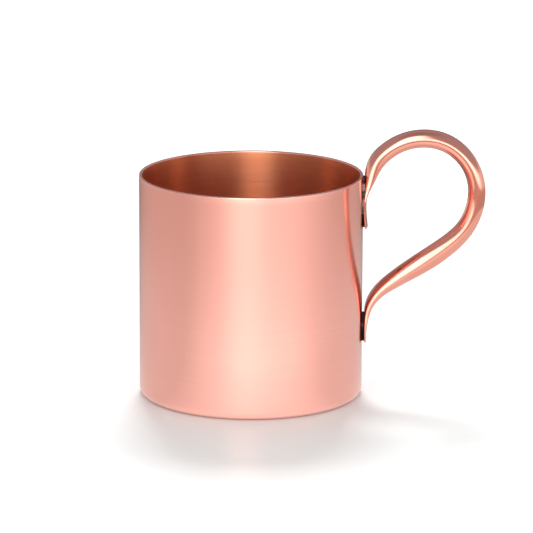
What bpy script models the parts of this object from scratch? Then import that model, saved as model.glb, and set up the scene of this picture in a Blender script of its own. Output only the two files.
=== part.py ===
"""Copper mug: a drawn cup and a handle of copper tube, soldered to the wall at its two flattened ends.

Metres, +Z up. The origin is the middle of the cup's base, on the surface that it stands on, and the
handle points along +X. The handle is one round tube: both its ends are pressed flat to lie along the wall
as tabs, and its girth stays nearly the same all the way, so it is widest where it is flattest.
"""

import math

import bmesh
import bpy
import numpy as np

MM = 0.001
SHARP_ANGLE = math.radians(40)

# Cup
CUP_DIAMETER = 85.0 * MM
CUP_HEIGHT = 85.5 * MM
CUP_WALL = 1.2 * MM
CUP_CORNER_RADIUS = 3.2 * MM
CUP_RIM_RADIUS = 0.5 * MM
CUP_SEGMENTS = 96
CORNER_STEPS = 6
RIM_STEPS = 3
WALL_RINGS = 1

# Handle
TUBE_WALL = 0.36 * MM
ROUND_EXPONENT = 2.0
FLAT_EXPONENT = 5.0
TUBE_SEGMENTS = 28
STEPS_PER_STATION = 2
TAB_CORNER_RADIUS = 1.0 * MM
TAB_CORNER_STEPS = 3
TAB_CORNER_REACH = 1.2 * TAB_CORNER_RADIUS

# Solder joints
JOINT_GAP = 0.15 * MM
SOLDER_INSET = 0.4 * MM
SOLDER_DEPTH = 1.1 * MM
SOLDER_STEPS = 8
SOLDER_TRIM = 0.02
UPPER_SOLDER_TOP = 84.3 * MM
LOWER_SOLDER_TOP = 31.0 * MM

# The tube from the upper tab's end round the loop to the lower tab's end, in millimetres: x and z of its
# centre line, its half depth and half width, and how far its edges are bowed out of the loop.
HANDLE_STATIONS = [
    # Upper tab, its edges bowed towards the wall
    (43.95, 65.15, 0.42, 5.7, 0.65),
    (43.8, 67.0, 0.42, 5.7, 0.58),
    (43.5, 69.8, 0.42, 5.7, 0.5),
    (43.4, 72.9, 0.42, 5.7, 0.42),
    (43.45, 75.9, 0.47, 5.7, 0.32),
    # The tube opens as it leaves the wall
    (43.9, 79.1, 0.95, 5.4, 0.15),
    (44.9, 83.2, 2.0, 4.9, 0.0),
    (46.75, 88.8, 3.05, 4.35, 0.0),
    # Loop
    (50.3, 93.4, 3.33, 4.1, 0.0),
    (56.6, 97.45, 3.38, 4.1, 0.0),
    (64.6, 99.25, 3.45, 4.05, 0.0),
    (73.2, 97.75, 3.44, 4.05, 0.0),
    (80.6, 92.2, 3.32, 4.15, 0.0),
    (84.9, 83.8, 3.25, 4.2, 0.0),
    (85.2, 74.3, 3.38, 4.1, 0.0),
    (81.6, 65.1, 3.49, 4.0, 0.0),
    (75.0, 58.1, 3.88, 3.6, 0.0),
    (67.0, 52.3, 4.07, 3.4, 0.0),
    # The tube closes again, towards the wall
    (58.9, 47.15, 3.64, 3.85, 0.0),
    (52.0, 42.5, 2.92, 4.45, 0.0),
    (47.75, 38.7, 2.18, 4.85, 0.0),
    (45.35, 34.9, 1.55, 5.15, 0.0),
    (44.3, 31.4, 1.1, 5.35, -0.05),
    # Lower tab
    (43.92, 28.4, 0.76, 5.55, -0.1),
    (43.76, 25.6, 0.52, 5.65, -0.15),
    (43.72, 22.7, 0.44, 5.7, -0.15),
    (43.72, 20.65, 0.43, 5.7, -0.15),
]

COPPER = ("copper", (0.83, 0.42, 0.31), 0.24, 1.0)
SOLDER = ("grey_solder", (0.16, 0.15, 0.14), 0.45, 1.0)


def clear_scene():
    for obj in list(bpy.data.objects):
        bpy.data.objects.remove(obj)


def metal(name, colour, roughness, metallic):
    """A Principled material for one sub-part."""
    material = bpy.data.materials.new(name)
    material.use_nodes = True
    shader = material.node_tree.nodes["Principled BSDF"]
    shader.inputs["Base Color"].default_value = (*colour, 1.0)
    shader.inputs["Roughness"].default_value = roughness
    shader.inputs["Metallic"].default_value = metallic
    return material


def make_object(name, points, faces, finish):
    """A mesh object from points and faces, with its normals outward and its round faces smooth."""
    mesh = bpy.data.meshes.new(name)
    mesh.from_pydata([tuple(map(float, point)) for point in points], [], faces)
    work = bmesh.new()
    work.from_mesh(mesh)
    bmesh.ops.recalc_face_normals(work, faces=work.faces)
    work.to_mesh(mesh)
    work.free()
    mesh.shade_smooth()
    mesh.set_sharp_from_angle(angle=SHARP_ANGLE)
    obj = bpy.data.objects.new(name, mesh)
    bpy.context.scene.collection.objects.link(obj)
    mesh.materials.append(metal(f"{name}_{finish[0]}", *finish[1:]))
    return obj


def arc(centre, radius, start, end, steps):
    """Points on an arc in the (r, z) plane, with the angles in degrees from +r."""
    angles = np.radians(np.linspace(start, end, steps + 1))
    return [(centre[0] + radius * math.cos(a), centre[1] + radius * math.sin(a)) for a in angles]


def cup_profile():
    """The cup's section as (r, z), from the middle of its base up the outside and down the inside."""
    radius = CUP_DIAMETER / 2
    corner = CUP_CORNER_RADIUS
    inner_corner = corner - CUP_WALL
    rim = CUP_RIM_RADIUS
    inner = radius - CUP_WALL
    wall_heights = np.linspace(corner, CUP_HEIGHT - rim, WALL_RINGS + 2)[1:-1]
    outside = arc((radius - corner, corner), corner, -90, 0, CORNER_STEPS)
    outside += [(radius, z) for z in wall_heights]
    top = CUP_HEIGHT - rim
    lip = arc((radius - rim, top), rim, 0, 90, RIM_STEPS)
    lip += arc((inner + rim, top), rim, 90, 180, RIM_STEPS)
    inside = [(inner, z) for z in wall_heights[::-1]]
    inside += arc((inner - inner_corner, corner), inner_corner, 0, -90, CORNER_STEPS)
    return outside + lip + inside


def make_cup():
    """Turns the section into a closed cup: rings of points, with flat faces over the base and the floor."""
    profile = cup_profile()
    points = []
    for r, z in profile:
        for k in range(CUP_SEGMENTS):
            turn = math.tau * k / CUP_SEGMENTS
            points.append((r * math.cos(turn), r * math.sin(turn), z))
    faces = []
    for ring in range(len(profile) - 1):
        first = ring * CUP_SEGMENTS
        for k in range(CUP_SEGMENTS):
            after = (k + 1) % CUP_SEGMENTS
            above = first + CUP_SEGMENTS
            faces.append((first + k, first + after, above + after, above + k))
    last = (len(profile) - 1) * CUP_SEGMENTS
    faces.append(tuple(range(CUP_SEGMENTS)))
    faces.append(tuple(range(last, last + CUP_SEGMENTS)))
    return make_object("cup", points, faces, COPPER)


def smooth_curve(values, steps):
    """A cubic curve through all the values, with its curvature continuous, as an array of rows."""
    values = np.array(values, float)
    count = len(values)
    weights = 4 * np.eye(count) + np.eye(count, k=1) + np.eye(count, k=-1)
    weights[0] = weights[-1] = 0
    weights[0, 0] = weights[-1, -1] = 6
    control = np.linalg.solve(weights / 6, values)
    control = np.vstack([2 * control[0] - control[1], control, 2 * control[-1] - control[-2]])
    rows = []
    for position in np.linspace(0, count - 1, steps * (count - 1) + 1):
        span = min(int(position), count - 2)
        u = position - span
        basis = np.array([(1 - u) ** 3, 3 * u**3 - 6 * u * u + 4, -3 * u**3 + 3 * u * u + 3 * u + 1, u**3])
        rows.append(basis @ control[span : span + 4] / 6)
    return np.array(rows)


def length_between(row, other):
    return math.hypot(*(row[:2] - other[:2]))


def round_tab_corners(rows):
    """Replaces the rows near both ends of the tube by ones that narrow it there, for round tab corners."""
    radius = TAB_CORNER_RADIUS / MM
    reach = TAB_CORNER_REACH / MM
    ends = []
    for tip, others in ((rows[0], rows[1:]), (rows[-1], rows[-2::-1])):
        towards = next(row for row in others if length_between(row, tip) > radius)
        step = (towards - tip) * radius / length_between(towards, tip)
        end = []
        for turn in np.linspace(0, math.pi / 2, TAB_CORNER_STEPS + 1):
            row = tip + step * (1 - math.cos(turn))
            row[3] -= radius * (1 - math.sin(turn))
            end.append(row)
        ends.append(end)
    body = [r for r in rows if length_between(r, rows[0]) > reach and length_between(r, rows[-1]) > reach]
    return np.array(ends[0] + body + ends[1][::-1])


class Tube:
    """The handle's tube: a row of (x, z, half depth, half width, bow) for each cross-section, in metres."""

    def __init__(self, rows):
        self.rows = rows * MM
        along = np.gradient(self.rows[:, :2], axis=0)
        along /= np.hypot(along[:, 0], along[:, 1])[:, None]
        self.outward = np.stack([-along[:, 1], along[:, 0]], axis=1)

    def exponent(self, index):
        """The superellipse exponent of a cross-section: an ellipse, with squarer sides where it is flat."""
        depth, width = self.rows[index][2:4]
        return ROUND_EXPONENT + (FLAT_EXPONENT - ROUND_EXPONENT) * max(0.0, 1 - depth / width) ** 3

    def point(self, index, side, rise):
        """A point of a cross-section: side is along Y and rise is outward from the centre line."""
        x, z, _, width, bow = self.rows[index]
        rise += bow * (side / width) ** 2
        normal = self.outward[index]
        return (x + normal[0] * rise, side, z + normal[1] * rise)

    def ring(self, index, inset):
        """All points round a cross-section, inset from the tube's outer face."""
        depth, width = self.rows[index][2:4] - inset
        power = 2 / self.exponent(index)
        points = []
        for turn in np.linspace(0, math.tau, TUBE_SEGMENTS, endpoint=False):
            across, up = math.cos(turn), math.sin(turn)
            side = math.copysign(width * abs(across) ** power, across)
            rise = math.copysign(depth * abs(up) ** power, up)
            points.append(self.point(index, side, rise))
        return points

    def face_point(self, index, across, face, gap):
        """A point over one face of the tube, across from -1 to 1; face is +1 out of the loop, -1 into it."""
        depth, width = self.rows[index][2:4]
        power = self.exponent(index)
        rise = depth * (1 - abs(across) ** power) ** (1 / power)
        return self.point(index, width * across, face * (rise + gap))


def handle_tube():
    return Tube(round_tab_corners(smooth_curve(HANDLE_STATIONS, STEPS_PER_STATION)))


def ring_faces(start, rings, size):
    """Quads between rings of the same size, whose points begin at start."""
    faces = []
    for ring in range(rings - 1):
        first = start + ring * size
        for k in range(size):
            after = (k + 1) % size
            faces.append((first + k, first + after, first + size + after, first + size + k))
    return faces


def make_handle(tube):
    """The tube's outer and inner faces, joined at both ends by its wall, so that its hollow stays open."""
    count = len(tube.rows)
    points = []
    for inset in (0.0, TUBE_WALL):
        for index in range(count):
            points += tube.ring(index, inset)
    hollow = count * TUBE_SEGMENTS
    faces = ring_faces(0, count, TUBE_SEGMENTS) + ring_faces(hollow, count, TUBE_SEGMENTS)
    for start in (0, hollow - TUBE_SEGMENTS):
        for k in range(TUBE_SEGMENTS):
            first, after = start + k, start + (k + 1) % TUBE_SEGMENTS
            faces.append((first, after, hollow + after, hollow + first))
    return make_object("handle", points, faces, COPPER)


def wall_point(y, z):
    """The point of the solder's wall side at this width and height."""
    radius = CUP_DIAMETER / 2 + JOINT_GAP
    return (math.sqrt(radius * radius - y * y), y, z)


def solder_section(tube, index, face):
    """Points round one section of solder, which stops short of the tab's edges, or where it would be too
    deep because the tube curves away from the wall."""
    reach = 1 - SOLDER_INSET / tube.rows[index][3]
    while True:
        x, y, z = tube.face_point(index, reach, face, JOINT_GAP)
        if x - wall_point(y, z)[0] <= SOLDER_DEPTH:
            break
        reach -= SOLDER_TRIM
    across = np.linspace(-reach, reach, SOLDER_STEPS + 1)
    tab_side = [tube.face_point(index, a, face, JOINT_GAP) for a in across]
    wall_side = [wall_point(y, z) for _, y, z in tab_side]
    return tab_side + wall_side[::-1]


def make_solder(name, tube, indices, face):
    """Solder that fills the space between a tab and the wall; face is +1 where the tab's face out of the
    loop looks at the wall and -1 where its face into the loop does."""
    rings = [solder_section(tube, index, face) for index in indices]
    size = len(rings[0])
    points = [point for ring in rings for point in ring]
    faces = ring_faces(0, len(rings), size)
    faces += [tuple(range(size)), tuple(range(len(points) - size, len(points)))]
    return make_object(name, points, faces, SOLDER)


def rows_between(tube, low, high, first_half):
    """Indices of the cross-sections of one tab whose heights lie between low and high."""
    middle = len(tube.rows) // 2
    indices = range(middle) if first_half else range(middle, len(tube.rows))
    return [i for i in indices if low <= tube.rows[i][1] <= high]


def main():
    clear_scene()
    make_cup()
    tube = handle_tube()
    make_handle(tube)
    upper_end = tube.rows[0][1] + TAB_CORNER_RADIUS
    lower_end = tube.rows[-1][1] + TAB_CORNER_RADIUS
    upper = rows_between(tube, upper_end, UPPER_SOLDER_TOP, True)
    lower = rows_between(tube, lower_end, LOWER_SOLDER_TOP, False)
    make_solder("upper_solder_joint", tube, upper, 1)
    make_solder("lower_solder_joint", tube, lower, -1)


main()
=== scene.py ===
"""Looks of the copper mug: fine meshes for its four pieces, brushed copper and solder, and a white studio.

Metres, +Z up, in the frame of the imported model. The cup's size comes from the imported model. The handle's
tube repeats the design's cross-sections and is only divided more finely.
"""

import math

import bmesh
import bpy
import numpy as np
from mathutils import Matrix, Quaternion, Vector, noise


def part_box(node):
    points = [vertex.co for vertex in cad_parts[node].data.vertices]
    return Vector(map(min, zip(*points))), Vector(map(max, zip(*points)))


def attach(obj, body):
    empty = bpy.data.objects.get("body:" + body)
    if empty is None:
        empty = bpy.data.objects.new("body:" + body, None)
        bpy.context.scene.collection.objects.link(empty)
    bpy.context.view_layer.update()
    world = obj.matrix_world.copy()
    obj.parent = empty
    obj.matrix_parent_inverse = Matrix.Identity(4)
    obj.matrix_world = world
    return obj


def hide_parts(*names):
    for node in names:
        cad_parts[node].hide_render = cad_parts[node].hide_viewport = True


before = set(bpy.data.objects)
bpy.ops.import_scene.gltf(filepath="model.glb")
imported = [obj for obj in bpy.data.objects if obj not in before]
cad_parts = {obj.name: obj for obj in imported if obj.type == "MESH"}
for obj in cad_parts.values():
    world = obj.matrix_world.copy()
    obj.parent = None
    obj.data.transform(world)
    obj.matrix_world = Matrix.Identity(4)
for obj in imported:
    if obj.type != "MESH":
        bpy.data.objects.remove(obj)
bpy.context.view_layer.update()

MM = 0.001
SHARP_ANGLE = math.radians(40)

# Cup, whose diameter and height are those of the CAD node
CUP_LOW, CUP_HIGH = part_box("cup")
CUP_RADIUS = (CUP_HIGH.x - CUP_LOW.x) / 2
CUP_HEIGHT = CUP_HIGH.z
CUP_WALL = 1.2 * MM
CUP_CORNER_RADIUS = 3.2 * MM
CUP_RIM_RADIUS = 0.5 * MM
CUP_SEGMENTS = 288
CORNER_STEPS = 14
RIM_STEPS = 8
WALL_RINGS = 30
FLOOR_RINGS = 12
FLOOR_MIDDLE_RADIUS = 1.0 * MM

# Handle
TUBE_WALL = 0.36 * MM
ROUND_EXPONENT = 2.0
FLAT_EXPONENT = 5.0
TUBE_SEGMENTS = 104
STEPS_PER_STATION = 9
TAB_CORNER_RADIUS = 1.0 * MM
TAB_CORNER_STEPS = 10
TAB_CORNER_REACH = 1.1 * TAB_CORNER_RADIUS
TAB_EDGE_RADIUS = 0.25 * MM

# Solder joints
SOLDER_INSET = 1.6 * MM
SOLDER_DEPTH = 1.25 * MM
SOLDER_STEPS = 24
SOLDER_SIDE_STEPS = 4
SOLDER_BITE = 0.05 * MM
SOLDER_TRIM = 0.01
SOLDER_END_GAP = 0.5 * TAB_CORNER_RADIUS
SOLDER_WAVE = 0.9 * MM
SOLDER_WOBBLE = 0.16 * MM
SOLDER_HOLLOW = 0.10 * MM
UPPER_SOLDER_TOP = 84.3 * MM
LOWER_SOLDER_TOP = 31.0 * MM

# The tube from the upper tab's end round the loop to the lower tab's end, in millimetres: x and z of its
# centre line, its half depth and half width, and how far its edges are bowed out of the loop.
HANDLE_STATIONS = [
    # Upper tab, its edges bowed towards the wall
    (43.95, 65.15, 0.42, 5.7, 0.65),
    (43.8, 67.0, 0.42, 5.7, 0.58),
    (43.5, 69.8, 0.42, 5.7, 0.5),
    (43.4, 72.9, 0.42, 5.7, 0.42),
    (43.45, 75.9, 0.47, 5.7, 0.32),
    # The tube opens as it leaves the wall
    (43.9, 79.1, 0.95, 5.4, 0.15),
    (44.9, 83.2, 2.0, 4.9, 0.0),
    (46.75, 88.8, 3.05, 4.35, 0.0),
    # Loop
    (50.3, 93.4, 3.33, 4.1, 0.0),
    (56.6, 97.45, 3.38, 4.1, 0.0),
    (64.6, 99.25, 3.45, 4.05, 0.0),
    (73.2, 97.75, 3.44, 4.05, 0.0),
    (80.6, 92.2, 3.32, 4.15, 0.0),
    (84.9, 83.8, 3.25, 4.2, 0.0),
    (85.2, 74.3, 3.38, 4.1, 0.0),
    (81.6, 65.1, 3.49, 4.0, 0.0),
    (75.0, 58.1, 3.88, 3.6, 0.0),
    (67.0, 52.3, 4.07, 3.4, 0.0),
    # The tube closes again, towards the wall
    (58.9, 47.15, 3.64, 3.85, 0.0),
    (52.0, 42.5, 2.92, 4.45, 0.0),
    (47.75, 38.7, 2.18, 4.85, 0.0),
    (45.35, 34.9, 1.55, 5.15, 0.0),
    (44.3, 31.4, 1.1, 5.35, -0.05),
    # Lower tab
    (43.92, 28.4, 0.76, 5.55, -0.1),
    (43.76, 25.6, 0.52, 5.65, -0.15),
    (43.72, 22.7, 0.44, 5.7, -0.15),
    (43.72, 20.65, 0.43, 5.7, -0.15),
]

# Colours, linear
WALL_COPPER = (0.90, 0.455, 0.38)
WALL_COPPER_DEEP = (0.87, 0.43, 0.35)
HANDLE_COPPER = (0.90, 0.42, 0.325)
HANDLE_COPPER_DEEP = (0.84, 0.36, 0.265)
COPPER_INSIDE = (0.86, 0.355, 0.20)
COPPER_INSIDE_DEEP = (0.76, 0.27, 0.125)
RIM_COPPER = (0.88, 0.46, 0.38)
SOLDER_GREY = (0.27, 0.26, 0.25)
# Near-black: dark flux, and also painted shade in the gap between each tab and the wall
FLUX_AND_GAP_SHADE = (0.02, 0.014, 0.012)
WHITE = (0.93, 0.93, 0.93)

# Finishes: the part of a noise's range that is used, and the noise at which near-black flux, which is also
# painted shade in the gap behind the tabs, gives way to solder
TONE_RANGE = (0.35, 0.65)
UPPER_FLUX_AND_SHADE_END = 0.62
LOWER_FLUX_AND_SHADE_END = 0.74
FLUX_AND_SHADE_FADE = 0.16

# Camera: pitched long lens, no shift
CAMERA_TARGET = Vector((5.92, 0.0, 49.27)) * MM
CAMERA_PLACE = Vector((5.92, -1500.0, 413.34)) * MM
CAMERA_LENS = 273.7
CAMERA_SENSOR = 36.0
CAMERA_ROLL = math.radians(0.195)
CAMERA_CLIP = (0.05, 30.0)

# Studio: the room's colours by the rise of the direction, then the cards, in metres and radiance
WORLD_WHITE = 1.05
WORLD_FILL = 0.86
FILL_COLOUR = (0.95, 1.0, 0.99)
ROOM_STOPS = [
    (-1.0, (0.63, 0.49, 0.45)),
    (-0.15, (0.63, 0.49, 0.45)),
    (-0.13, (0.95, 0.92, 0.92)),
    (0.08, (0.95, 0.92, 0.92)),
    (0.26, (0.50, 0.47, 0.51)),
    (0.85, (0.45, 0.43, 0.47)),
    (1.0, (0.33, 0.31, 0.33)),
]
BAND_MIDDLE = math.radians(15)
BAND_FOOT = (-0.15, -0.13)
BAND_HEAD = (0.10, 0.24)
BAND_GLOW = 2.1
BAND_POWER = 1.6
BACK_DIMMING = 0.65
BACK_POWER = 6.0
FLOOR_REACH = 1.1
TABLE_RADIUS = 0.25
TABLE_MIDDLE_Y = 0.05
TABLE_SEGMENTS = 96
TABLE_FRONT = 1.3
TABLE_SIDE = 0.92
TABLE_BEHIND = 0.75
TABLE_TILT = 0.03
TABLE_SHADE = 0.05
SHADE_RADII = (0.0390, 0.0422)
FLOOR_DROP = 0.02 * MM
TABLE_DROP = 0.03 * MM
SOFTBOX_LEFT = -0.29
SOFTBOX_RIGHT = 0.16
SOFTBOX_FADE = 0.16
SOFTBOX_Y = -0.50
SOFTBOX_BOTTOM = 0.10
SOFTBOX_FOOT_FADE = 0.10
SOFTBOX_TOP = 1.05
SOFTBOX_TOP_FADE = 0.45
SOFTBOX_GLOW = 4.4
BACK_LIGHT_PLACE = (0.0, 1.94, 2.3)
BACK_LIGHT_SIZE = (0.9, 0.9)
BACK_LIGHT_POWER = 66


# Meshes


def make_mesh_object(name, points, faces, materials, face_slots=None, uvs=None):
    """A smooth mesh object; uvs holds one (u, v) for each point."""
    mesh = bpy.data.meshes.new(name)
    mesh.from_pydata([tuple(map(float, point)) for point in points], [], faces)
    for material in materials:
        mesh.materials.append(material)
    if face_slots is not None:
        mesh.polygons.foreach_set("material_index", face_slots)
    if uvs is not None:
        layer = mesh.uv_layers.new(name="UVMap")
        corners = np.empty(len(mesh.loops), np.int32)
        mesh.loops.foreach_get("vertex_index", corners)
        layer.data.foreach_set("uv", np.array(uvs, np.float32)[corners].ravel())
    work = bmesh.new()
    work.from_mesh(mesh)
    bmesh.ops.recalc_face_normals(work, faces=work.faces)
    work.to_mesh(mesh)
    work.free()
    mesh.shade_smooth()
    mesh.set_sharp_from_angle(angle=SHARP_ANGLE)
    obj = bpy.data.objects.new(name, mesh)
    bpy.context.scene.collection.objects.link(obj)
    return obj


def stand_for(obj, node):
    """The object rides with the mug and is shown instead of a CAD node."""
    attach(obj, "root")
    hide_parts(node)
    return obj


def arc(centre, radius, start, end, steps):
    """Points on an arc in the (r, z) plane, with the angles in degrees from +r."""
    angles = np.radians(np.linspace(start, end, steps + 1))
    return [(centre[0] + radius * math.cos(a), centre[1] + radius * math.sin(a)) for a in angles]


def cup_profile():
    """The cup's section as (r, z, material slot of the band that starts there), from the base's middle up."""
    corner = CUP_CORNER_RADIUS
    inner_corner = corner - CUP_WALL
    inner = CUP_RADIUS - CUP_WALL
    rim = CUP_RIM_RADIUS
    top = CUP_HEIGHT - rim
    wall_heights = np.linspace(corner, top, WALL_RINGS + 2)[1:-1]
    base_radii = np.linspace(FLOOR_MIDDLE_RADIUS, CUP_RADIUS - corner, FLOOR_RINGS + 1)[:-1]
    bands = [[(r, 0.0) for r in base_radii]]
    bands[0] += arc((CUP_RADIUS - corner, corner), corner, -90, 0, CORNER_STEPS)
    bands[0] += [(CUP_RADIUS, z) for z in wall_heights]
    bands.append(arc((CUP_RADIUS - rim, top), rim, 0, 90, RIM_STEPS))
    bands[1] += arc((inner + rim, top), rim, 90, 180, RIM_STEPS)
    bands.append([bands[1].pop()] + [(inner, z) for z in wall_heights[::-1]])
    bands[2] += arc((inner - inner_corner, corner), inner_corner, 0, -90, CORNER_STEPS)
    bands[2] += [(r, CUP_WALL) for r in base_radii[::-1]]
    return [(r, z, slot) for slot, band in enumerate(bands) for r, z in band]


def make_cup(outside, rim, inside):
    """Turns the section about Z; outside, rim and inside have their own finishes."""
    profile = cup_profile()
    points, faces, slots = [], [], []
    for r, z, _ in profile:
        for k in range(CUP_SEGMENTS):
            turn = math.tau * k / CUP_SEGMENTS
            points.append((r * math.cos(turn), r * math.sin(turn), z))
    for ring in range(len(profile) - 1):
        first = ring * CUP_SEGMENTS
        above = first + CUP_SEGMENTS
        for k in range(CUP_SEGMENTS):
            after = (k + 1) % CUP_SEGMENTS
            faces.append((first + k, first + after, above + after, above + k))
            slots.append(profile[ring][2])
    last = (len(profile) - 1) * CUP_SEGMENTS
    for first, slot in ((0, 0), (last, 2)):
        faces.append(tuple(range(first, first + CUP_SEGMENTS)))
        slots.append(slot)
    return make_mesh_object("cup_shell", points, faces, [outside, rim, inside], slots)


def smooth_curve(values, steps):
    """A cubic curve through all the values, with its curvature continuous, as an array of rows."""
    values = np.array(values, float)
    count = len(values)
    weights = 4 * np.eye(count) + np.eye(count, k=1) + np.eye(count, k=-1)
    weights[0] = weights[-1] = 0
    weights[0, 0] = weights[-1, -1] = 6
    control = np.linalg.solve(weights / 6, values)
    control = np.vstack([2 * control[0] - control[1], control, 2 * control[-1] - control[-2]])
    rows = []
    for position in np.linspace(0, count - 1, steps * (count - 1) + 1):
        span = min(int(position), count - 2)
        u = position - span
        basis = np.array([(1 - u) ** 3, 3 * u**3 - 6 * u * u + 4, -3 * u**3 + 3 * u * u + 3 * u + 1, u**3])
        rows.append(basis @ control[span : span + 4] / 6)
    return np.array(rows)


def length_between(row, other):
    return math.hypot(*(row[:2] - other[:2]))


def round_tab_ends(rows):
    """Replaces the rows near both ends of the tube by ones that narrow it there, for round tab corners, and
    adds to each row how far its outer face is cut back, for the rounded edge of the tab's end."""
    radius = TAB_CORNER_RADIUS / MM
    edge = TAB_EDGE_RADIUS / MM
    reach = TAB_CORNER_REACH / MM
    rows = np.hstack([rows, np.zeros((len(rows), 1))])
    ends = []
    for tip, others in ((rows[0], rows[1:]), (rows[-1], rows[-2::-1])):
        towards = next(row for row in others if length_between(row, tip) > radius)
        step = (towards - tip) * radius / length_between(towards, tip)
        end = []
        for turn in np.linspace(0, math.pi / 2, TAB_CORNER_STEPS + 1):
            row = tip + step * (1 - math.cos(turn))
            row[3] -= radius * (1 - math.sin(turn))
            from_edge = min(1.0, radius * (1 - math.cos(turn)) / edge)
            row[5] = edge * (1 - math.sqrt(1 - (1 - from_edge) ** 2))
            end.append(row)
        ends.append(end)
    body = [r for r in rows if length_between(r, rows[0]) > reach and length_between(r, rows[-1]) > reach]
    return np.array(ends[0] + body + ends[1][::-1])


class Tube:
    """The handle's tube, in metres: a row of (x, z, half depth, half width, bow, cut) per cross-section."""

    def __init__(self, rows):
        self.rows = rows * MM
        steps = np.diff(self.rows[:, :2], axis=0)
        self.lengths = np.concatenate([[0.0], np.cumsum(np.hypot(steps[:, 0], steps[:, 1]))])
        along = np.gradient(self.rows[:, :2], self.lengths, axis=0)
        along /= np.hypot(along[:, 0], along[:, 1])[:, None]
        self.outward = np.stack([-along[:, 1], along[:, 0]], axis=1)

    def exponent(self, index):
        """The superellipse exponent of a cross-section: an ellipse, with squarer sides where it is flat."""
        depth, width = self.rows[index][2:4]
        return ROUND_EXPONENT + (FLAT_EXPONENT - ROUND_EXPONENT) * max(0.0, 1 - depth / width) ** 3

    def point(self, index, side, rise):
        """A point of a cross-section: side is along Y and rise is outward from the centre line."""
        x, z, _, width, bow = self.rows[index][:5]
        rise += bow * (side / width) ** 2
        normal = self.outward[index]
        return (x + normal[0] * rise, side, z + normal[1] * rise)

    def ring(self, index, inset):
        """All points round a cross-section, inset from the tube's outer face, and their (u, v)."""
        depth, width = self.rows[index][2:4] - inset
        power = 2 / self.exponent(index)
        half_girth = math.pi * (depth + width) / 2
        points, uvs = [], []
        for turn in np.linspace(0, math.tau, TUBE_SEGMENTS, endpoint=False):
            across, up = math.cos(turn), math.sin(turn)
            side = math.copysign(width * abs(across) ** power, across)
            rise = math.copysign(depth * abs(up) ** power, up)
            points.append(self.point(index, side, rise))
            uvs.append((half_girth * abs(turn / math.pi - 1), self.lengths[index]))
        return points, uvs

    def face_point(self, index, across, face, gap):
        """A point over one face of the tube, across from -1 to 1; face is +1 out of the loop, -1 into it."""
        depth, width = self.rows[index][2:4]
        power = self.exponent(index)
        rise = depth * (1 - abs(across) ** power) ** (1 / power)
        return self.point(index, width * across, face * (rise + gap))


def ring_faces(start, rings, size):
    """Quads between rings of the same size, whose points begin at start."""
    faces = []
    for ring in range(rings - 1):
        first = start + ring * size
        for k in range(size):
            after = (k + 1) % size
            faces.append((first + k, first + after, first + size + after, first + size + k))
    return faces


def make_handle(tube, material):
    """The tube's outer and inner faces, joined at both ends by its wall."""
    count = len(tube.rows)
    points, uvs = [], []
    for insets in (tube.rows[:, 5], np.full(count, TUBE_WALL)):
        for index, inset in enumerate(insets):
            ring, ring_uvs = tube.ring(index, inset)
            points += ring
            uvs += ring_uvs
    hollow = count * TUBE_SEGMENTS
    faces = ring_faces(0, count, TUBE_SEGMENTS) + ring_faces(hollow, count, TUBE_SEGMENTS)
    for start in (0, hollow - TUBE_SEGMENTS):
        for k in range(TUBE_SEGMENTS):
            first, after = start + k, start + (k + 1) % TUBE_SEGMENTS
            faces.append((first, after, hollow + after, hollow + first))
    return make_mesh_object("tube_handle", points, faces, [material], uvs=uvs)


def wall_point(y, z):
    """The point just inside the cup's outer face at this width and height."""
    radius = CUP_RADIUS - SOLDER_BITE
    return np.array((math.sqrt(radius * radius - y * y), y, z))


def solder_section(tube, index, face):
    """Points round one section of solder: along the tab, down one ragged side, along the wall and back."""
    reach = 1 - SOLDER_INSET / tube.rows[index][3]
    while True:
        x, y, z = tube.face_point(index, reach, face, -SOLDER_BITE)
        if x - wall_point(y, z)[0] <= SOLDER_DEPTH:
            break
        reach -= SOLDER_TRIM
    across = np.linspace(-reach, reach, SOLDER_STEPS + 1)
    tab_side = [np.array(tube.face_point(index, a, face, -SOLDER_BITE)) for a in across]
    wall_side = [wall_point(y, z) for _, y, z in tab_side]
    section = list(tab_side)
    for top, bottom, away in ((tab_side[-1], wall_side[-1], 1), (tab_side[0], wall_side[0], -1)):
        side = []
        for step in range(1, SOLDER_SIDE_STEPS):
            share = step / SOLDER_SIDE_STEPS
            spot = top + (bottom - top) * share
            wobble = noise.noise(Vector(spot) / SOLDER_WAVE) * SOLDER_WOBBLE
            spot[1] += away * (wobble - SOLDER_HOLLOW * math.sin(math.pi * share))
            side.append(spot)
        if away == 1:
            section += side + wall_side[::-1]
        else:
            section += side[::-1]
    return section


def make_solder(name, tube, indices, face, material):
    rings = [solder_section(tube, index, face) for index in indices]
    size = len(rings[0])
    points = [point for ring in rings for point in ring]
    faces = ring_faces(0, len(rings), size)
    faces += [tuple(range(size)), tuple(range(len(points) - size, len(points)))]
    return make_mesh_object(name, points, faces, [material])


def rows_between(tube, low, high, first_half):
    """Indices of the cross-sections in one half of the tube whose heights lie between low and high."""
    middle = len(tube.rows) // 2
    indices = range(middle) if first_half else range(middle, len(tube.rows))
    return [i for i in indices if low <= tube.rows[i][1] <= high]


# Materials


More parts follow.
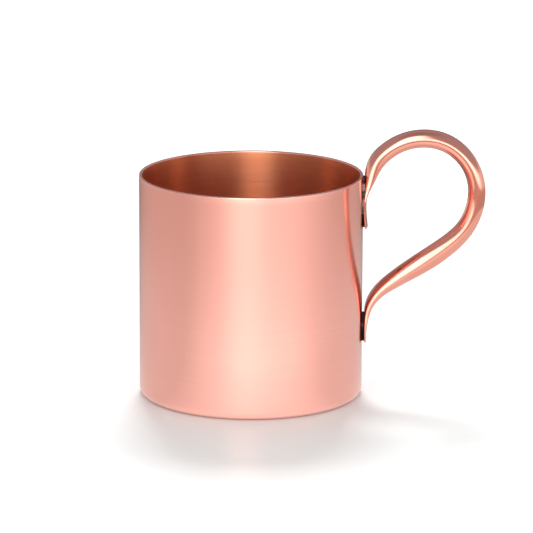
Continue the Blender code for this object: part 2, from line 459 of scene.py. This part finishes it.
class Shader:
    """A Principled material and short calls to add and join its nodes."""

    def __init__(self, name, **constants):
        self.material = bpy.data.materials.new(name)
        self.material.use_nodes = True
        self.tree = self.material.node_tree
        self.surface = self.tree.nodes["Principled BSDF"]
        for key, value in constants.items():
            self.surface.inputs[key.replace("_", " ")].default_value = value

    def node(self, kind, settings=None, **inputs):
        """Adds a node; an input is a value or another node's output."""
        made = self.tree.nodes.new(kind)
        for key, value in (settings or {}).items():
            setattr(made, key, value)
        for key, value in inputs.items():
            self.join(made.inputs[key.replace("_", " ")], value)
        return made

    def join(self, socket, value):
        if isinstance(value, bpy.types.NodeSocket):
            self.tree.links.new(value, socket)
        else:
            socket.default_value = value

    def noise(self, coordinates, scale, detail=3.0, roughness=0.55):
        """Noise from 0 to 1 of coordinates stretched by scale, a number for each axis in waves per metre."""
        stretched = self.node("ShaderNodeMapping", Vector=coordinates, Scale=scale).outputs[0]
        pattern = self.node(
            "ShaderNodeTexNoise", Vector=stretched, Scale=1.0, Detail=detail, Roughness=roughness
        )
        return pattern.outputs[0]

    def ranged(self, value, low, high, start=0.3, end=0.7):
        """value, from start to end, put between low and high."""
        made = self.node("ShaderNodeMapRange")
        for index, number in enumerate((value, start, end, low, high)):
            self.join(made.inputs[index], number)
        return made.outputs[0]

    def maths(self, operation, *values):
        made = self.node("ShaderNodeMath", {"operation": operation})
        for index, value in enumerate(values):
            self.join(made.inputs[index], value)
        return made.outputs[0]

    def blend(self, share, first, second):
        """The colour between first and second."""
        made = self.node("ShaderNodeMix", {"data_type": "RGBA"})
        self.join(made.inputs[0], share)
        for socket, colour in ((made.inputs[6], first), (made.inputs[7], second)):
            self.join(socket, colour if isinstance(colour, bpy.types.NodeSocket) else (*colour, 1.0))
        return made.outputs[2]

    def bump(self, height, strength, distance, normal=None):
        made = self.node("ShaderNodeBump", Height=height, Strength=strength, Distance=distance)
        if normal is not None:
            self.join(made.inputs["Normal"], normal)
        return made.outputs[0]

    def finish(self, colour, roughness, normal, tangent=None):
        inputs = self.surface.inputs
        self.join(inputs["Base Color"], colour)
        self.join(inputs["Roughness"], roughness)
        self.join(inputs["Normal"], normal)
        if tangent is not None:
            self.join(inputs["Tangent"], tangent)
        return self.material


def turned_copper(name, light, deep, smooth, rough, grain_depth, anisotropy, broad_share):
    """Copper brushed round the Z axis: fine lines round the wall and rings on a flat face."""
    shader = Shader(name, Metallic=1.0, Anisotropic=anisotropy, Anisotropic_Rotation=0.25)
    place = shader.node("ShaderNodeTexCoord").outputs["Object"]
    parts = shader.node("ShaderNodeSeparateXYZ", Vector=place)
    x, y, z = (parts.outputs[axis] for axis in "XYZ")
    squares = shader.maths("ADD", shader.maths("MULTIPLY", x, x), shader.maths("MULTIPLY", y, y))
    across = shader.maths("SQRT", squares)
    line = shader.maths("ADD", z, across)
    lathe = shader.node("ShaderNodeCombineXYZ", X=x, Y=y, Z=line).outputs[0]
    fine = shader.noise(lathe, (12, 12, 5200), detail=2.0)
    broad = shader.noise(lathe, (6, 6, 900), detail=3.0)
    cloud = shader.noise(place, (28, 28, 22), detail=2.0)
    lines = shader.maths("MULTIPLY", broad, broad_share)
    lines = shader.maths("MULTIPLY_ADD", fine, 1.0 - broad_share, lines)
    tone = shader.maths("ADD", shader.maths("MULTIPLY", lines, 0.6), shader.maths("MULTIPLY", cloud, 0.4))
    colour = shader.blend(shader.ranged(tone, 0.0, 1.0, *TONE_RANGE), light, deep)
    roughness = shader.ranged(tone, smooth, rough, *TONE_RANGE)
    normal = shader.bump(lines, 1.0, grain_depth)
    tangent = shader.node("ShaderNodeTangent", {"direction_type": "RADIAL", "axis": "Z"}).outputs[0]
    return shader.finish(colour, roughness, normal, tangent)


def handle_copper():
    """Copper brushed along the tube and then polished, so the lines are faint."""
    shader = Shader("handle_copper", Metallic=1.0, Anisotropic=0.2)
    spread = shader.node("ShaderNodeUVMap", {"uv_map": "UVMap"}).outputs[0]
    place = shader.node("ShaderNodeTexCoord").outputs["Object"]
    lines = shader.noise(spread, (3800, 45, 1), detail=3.0)
    cloud = shader.noise(place, (110, 110, 110), detail=2.0)
    tone = shader.maths("ADD", shader.maths("MULTIPLY", lines, 0.5), shader.maths("MULTIPLY", cloud, 0.5))
    colour = shader.blend(shader.ranged(tone, 0.0, 1.0, *TONE_RANGE), HANDLE_COPPER, HANDLE_COPPER_DEEP)
    roughness = shader.ranged(tone, 0.11, 0.17, *TONE_RANGE)
    normal = shader.bump(lines, 1.0, 0.003 * MM)
    tangent = shader.node("ShaderNodeTangent", {"direction_type": "UV_MAP", "uv_map": "UVMap"}).outputs[0]
    return shader.finish(colour, roughness, normal, tangent)


def rim_copper():
    """The filed and polished lip."""
    shader = Shader("rim_copper", Metallic=1.0)
    place = shader.node("ShaderNodeTexCoord").outputs["Object"]
    cloud = shader.noise(place, (160, 160, 600), detail=3.0)
    colour = shader.blend(shader.ranged(cloud, 0.0, 1.0), RIM_COPPER, WALL_COPPER_DEEP)
    roughness = shader.ranged(cloud, 0.16, 0.30)
    normal = shader.bump(shader.noise(place, (300, 300, 6000), detail=2.0), 1.0, 0.003 * MM)
    return shader.finish(colour, roughness, normal)


def solder_and_painted_shade(name, flux_and_shade_end):
    """Dull tin-grey solder with near-black brown flux in its hollows, and more of it the higher the flux end
    is. The flux colour is also painted shade in the gap between the tab and the wall.
    """
    shader = Shader(name, Metallic=0.85)
    place = shader.node("ShaderNodeTexCoord").outputs["Object"]
    patches = shader.noise(place, (420, 420, 420), detail=4.0)
    grains = shader.noise(place, (3200, 3200, 3200), detail=3.0)
    bare_solder_share = shader.ranged(patches, 0.0, 1.0, flux_and_shade_end - FLUX_AND_SHADE_FADE, flux_and_shade_end)
    # The near-black flux colour also paints the shade in the gap between tab and wall
    colour = shader.blend(bare_solder_share, FLUX_AND_GAP_SHADE, SOLDER_GREY)
    roughness = shader.ranged(patches, 0.62, 0.34, 0.45, 0.65)
    normal = shader.bump(patches, 1.0, 0.12 * MM, shader.bump(grains, 1.0, 0.02 * MM))
    return shader.finish(colour, roughness, normal)


def floor_white():
    """Satin white table."""
    shader = Shader("floor_white", Specular_IOR_Level=0.08)
    place = shader.node("ShaderNodeTexCoord").outputs["Object"]
    mottle = shader.noise(place, (9, 9, 9), detail=2.0)
    colour = shader.blend(shader.ranged(mottle, 0.0, 1.0), WHITE, tuple(0.995 * c for c in WHITE))
    roughness = shader.ranged(mottle, 0.28, 0.32)
    normal = shader.bump(shader.noise(place, (900, 900, 900)), 0.02, 0.01 * MM)
    return shader.finish(colour, roughness, normal)


def glow(name, colour, strength, share=None):
    """A glowing material; strength is a number or a function of the Object coordinates, and share, its
    opacity, is such a function."""
    shader = Shader(name)
    shader.tree.nodes.remove(shader.surface)
    place = shader.node("ShaderNodeTexCoord").outputs["Object"]
    if callable(strength):
        strength = strength(shader, place)
    light = shader.node("ShaderNodeEmission", Color=(*colour, 1.0), Strength=strength)
    surface = light.outputs[0]
    if share is not None:
        mix = shader.node("ShaderNodeMixShader")
        shader.join(mix.inputs[0], share(shader, place))
        shader.join(mix.inputs[1], shader.node("ShaderNodeBsdfTransparent").outputs[0])
        shader.join(mix.inputs[2], surface)
        surface = mix.outputs[0]
    output = next(n for n in shader.tree.nodes if n.type == "OUTPUT_MATERIAL")
    shader.join(output.inputs["Surface"], surface)
    return shader.material


# Studio


def make_card(name, corners, material):
    """A flat stage piece from four corners."""
    mesh = bpy.data.meshes.new(name)
    mesh.from_pydata(corners, [], [tuple(range(len(corners)))])
    mesh.materials.append(material)
    obj = bpy.data.objects.new(name, mesh)
    bpy.context.scene.collection.objects.link(obj)
    return obj


def seen_by_reflections_only(obj):
    for kind in ("camera", "diffuse", "shadow", "transmission", "volume_scatter"):
        setattr(obj, "visible_" + kind, False)


def make_light(name, place, target, size, power):
    data = bpy.data.lights.new(name, "AREA")
    data.shape = "RECTANGLE"
    data.size, data.size_y = size
    data.energy = power
    obj = bpy.data.objects.new(name, data)
    bpy.context.scene.collection.objects.link(obj)
    obj.location = place
    obj.rotation_euler = (Vector(target) - Vector(place)).to_track_quat("-Z", "Y").to_euler()
    obj.visible_camera = False
    return obj


class WorldNodes(Shader):
    """The same short calls for the world's nodes."""

    def __init__(self, name):
        world = bpy.data.worlds.new(name)
        bpy.context.scene.world = world
        world.use_nodes = True
        self.tree = world.node_tree
        self.tree.nodes.clear()


def make_world():
    """White where the camera and the table see it, and a graded grey room where the metal reflects it."""
    world = WorldNodes("studio")
    direction = world.node("ShaderNodeTexCoord").outputs["Generated"]
    parts = world.node("ShaderNodeSeparateXYZ", Vector=direction)
    height = parts.outputs["Z"]
    ramp = world.node("ShaderNodeValToRGB")
    stops = ramp.color_ramp.elements
    while len(stops) < len(ROOM_STOPS):
        stops.new(1.0)
    for stop, (rise, colour) in zip(stops, ROOM_STOPS):
        stop.position = (rise + 1) / 2
        stop.color = (*colour, 1.0)
    world.join(ramp.inputs[0], world.ranged(height, 0.0, 1.0, -1.0, 1.0))
    # A low bright band, strongest towards BAND_MIDDLE, measured from -Y towards +X
    towards = world.maths("MULTIPLY", parts.outputs["X"], math.sin(BAND_MIDDLE))
    forward = world.maths("MULTIPLY", parts.outputs["Y"], math.cos(BAND_MIDDLE))
    towards = world.maths("SUBTRACT", towards, forward)
    bell = world.maths("POWER", world.maths("MAXIMUM", towards, 0.0), BAND_POWER)
    above = world.ranged(height, 0.0, 1.0, *BAND_FOOT)
    below = world.ranged(height, 1.0, 0.0, *BAND_HEAD)
    band = world.maths("MULTIPLY", world.maths("MULTIPLY", above, below), bell)
    strength = world.maths("MULTIPLY_ADD", band, BAND_GLOW, 1.0)
    strength = world.maths("MULTIPLY", strength, behind_factor(world, parts.outputs["Y"]))
    room = world.node("ShaderNodeBackground", Color=ramp.outputs[0], Strength=strength)
    ray = world.node("ShaderNodeLightPath")
    seen = ray.outputs["Is Camera Ray"]
    brightness = world.maths("MULTIPLY_ADD", seen, WORLD_WHITE - WORLD_FILL, WORLD_FILL)
    white = world.node(
        "ShaderNodeBackground", Color=world.blend(seen, FILL_COLOUR, (1, 1, 1)), Strength=brightness
    )
    mix = world.node("ShaderNodeMixShader")
    world.join(mix.inputs[0], ray.outputs["Is Glossy Ray"])
    world.join(mix.inputs[1], white.outputs[0])
    world.join(mix.inputs[2], room.outputs[0])
    output = world.node("ShaderNodeOutputWorld")
    world.join(output.inputs[0], mix.outputs[0])


def behind_factor(shader, backward):
    """The room is dark straight behind the mug, so the wall's outline shows."""
    bell = shader.maths("POWER", shader.maths("MAXIMUM", backward, 0.0), BACK_POWER)
    return shader.maths("MULTIPLY_ADD", bell, -BACK_DIMMING, 1.0)


def table_strength(shader, place):
    """The table is brightest in front of the mug, darker at its sides and behind it, and dim at its base."""
    towards = shader.node("ShaderNodeVectorMath", {"operation": "NORMALIZE"}, Vector=place).outputs[0]
    parts = shader.node("ShaderNodeSeparateXYZ", Vector=towards)
    forward = shader.maths("MULTIPLY", parts.outputs["Y"], -1.0)
    front = shader.ranged(forward, TABLE_SIDE, TABLE_FRONT, 0.5, 1.0)
    behind = shader.ranged(forward, TABLE_BEHIND - TABLE_SIDE, 0.0, -1.0, 0.0)
    tilt = shader.maths("MULTIPLY", parts.outputs["X"], TABLE_TILT)
    total = shader.maths("ADD", shader.maths("ADD", front, behind), tilt)
    total = shader.maths("MULTIPLY", total, behind_factor(shader, parts.outputs["Y"]))
    from_axis = shader.node("ShaderNodeVectorMath", {"operation": "LENGTH"}, Vector=place).outputs["Value"]
    return shader.maths("MULTIPLY", total, shader.ranged(from_axis, TABLE_SHADE, 1.0, *SHADE_RADII))


def softbox_share(shader, place):
    """The softbox fades out smoothly at all four sides."""
    parts = shader.node("ShaderNodeSeparateXYZ", Vector=place)
    x, z = parts.outputs["X"], parts.outputs["Z"]
    left = shader.ranged(x, 0.0, 1.0, SOFTBOX_LEFT, SOFTBOX_LEFT + SOFTBOX_FADE)
    right = shader.ranged(x, 1.0, 0.0, SOFTBOX_RIGHT - SOFTBOX_FADE, SOFTBOX_RIGHT)
    top = shader.ranged(z, 1.0, 0.0, SOFTBOX_TOP - SOFTBOX_TOP_FADE, SOFTBOX_TOP)
    foot = shader.ranged(z, 0.0, 1.0, SOFTBOX_BOTTOM, SOFTBOX_BOTTOM + SOFTBOX_FOOT_FADE)
    sides = shader.maths("MULTIPLY", left, right)
    ends = shader.maths("MULTIPLY", top, foot)
    return shader.maths("MULTIPLY", sides, ends)


def make_studio():
    make_world()
    bpy.context.scene.view_settings.view_transform = "Standard"
    far = FLOOR_REACH
    corners = [(-far, -far, 0), (far, -far, 0), (far, far, 0), (-far, far, 0)]
    floor = make_card("floor", corners, floor_white())
    floor.location.z = -FLOOR_DROP
    floor.visible_glossy = False

    # The lit part of the table that the metal reflects is round, with a dim gap between it and the softbox.
    corners = []
    for k in range(TABLE_SEGMENTS):
        turn = math.tau * k / TABLE_SEGMENTS
        corners.append((TABLE_RADIUS * math.cos(turn), TABLE_MIDDLE_Y + TABLE_RADIUS * math.sin(turn), 0))
    table = make_card("table_card", corners, glow("table_glow", (1.0, 0.97, 0.97), table_strength))
    table.location.z = -TABLE_DROP
    seen_by_reflections_only(table)
    low, high = (SOFTBOX_Y, SOFTBOX_BOTTOM), (SOFTBOX_Y, SOFTBOX_TOP)
    softbox = make_card(
        "front_softbox",
        [(SOFTBOX_LEFT, *low), (SOFTBOX_RIGHT, *low), (SOFTBOX_RIGHT, *high), (SOFTBOX_LEFT, *high)],
        glow("softbox_glow", (1.0, 0.98, 0.95), SOFTBOX_GLOW, softbox_share),
    )
    seen_by_reflections_only(softbox)

    # From behind and above, so that the mug's soft shadow falls towards the camera
    back = make_light("back_light", BACK_LIGHT_PLACE, (0, 0, 0), BACK_LIGHT_SIZE, BACK_LIGHT_POWER)
    back.visible_glossy = False


def make_camera():
    data = bpy.data.cameras.new("camera")
    data.lens = CAMERA_LENS
    data.sensor_width = CAMERA_SENSOR
    data.clip_start, data.clip_end = CAMERA_CLIP
    obj = bpy.data.objects.new("camera", data)
    bpy.context.scene.collection.objects.link(obj)
    obj.location = CAMERA_PLACE
    obj.rotation_mode = "QUATERNION"
    look = (CAMERA_TARGET - CAMERA_PLACE).to_track_quat("-Z", "Y")
    obj.rotation_quaternion = look @ Quaternion((0, 0, 1), CAMERA_ROLL)
    bpy.context.scene.camera = obj


def make_mug():
    outside = turned_copper(
        "outside_copper",
        WALL_COPPER,
        WALL_COPPER_DEEP,
        smooth=0.23,
        rough=0.27,
        grain_depth=0.002 * MM,
        anisotropy=0.9,
        broad_share=0.2,
    )
    inside = turned_copper(
        "inside_copper",
        COPPER_INSIDE,
        COPPER_INSIDE_DEEP,
        smooth=0.26,
        rough=0.38,
        grain_depth=0.03 * MM,
        anisotropy=0.85,
        broad_share=0.6,
    )
    stand_for(make_cup(outside, rim_copper(), inside), "cup")
    tube = Tube(round_tab_ends(smooth_curve(HANDLE_STATIONS, STEPS_PER_STATION)))
    stand_for(make_handle(tube, handle_copper()), "handle")
    upper_end = tube.rows[0][1] + SOLDER_END_GAP
    lower_end = tube.rows[-1][1] + SOLDER_END_GAP
    upper = rows_between(tube, upper_end, UPPER_SOLDER_TOP, True)
    lower = rows_between(tube, lower_end, LOWER_SOLDER_TOP, False)
    # More near-black flux on the lower joint, partly painted shade in the gap behind the lower tab
    joints = (("upper", upper, 1, UPPER_FLUX_AND_SHADE_END), ("lower", lower, -1, LOWER_FLUX_AND_SHADE_END))
    for place, rows, face, flux_and_shade_end in joints:
        solder = solder_and_painted_shade(f"{place}_solder", flux_and_shade_end)
        bead = make_solder(f"{place}_solder_bead", tube, rows, face, solder)
        stand_for(bead, f"{place}_solder_joint")


make_studio()
make_camera()
make_mug()
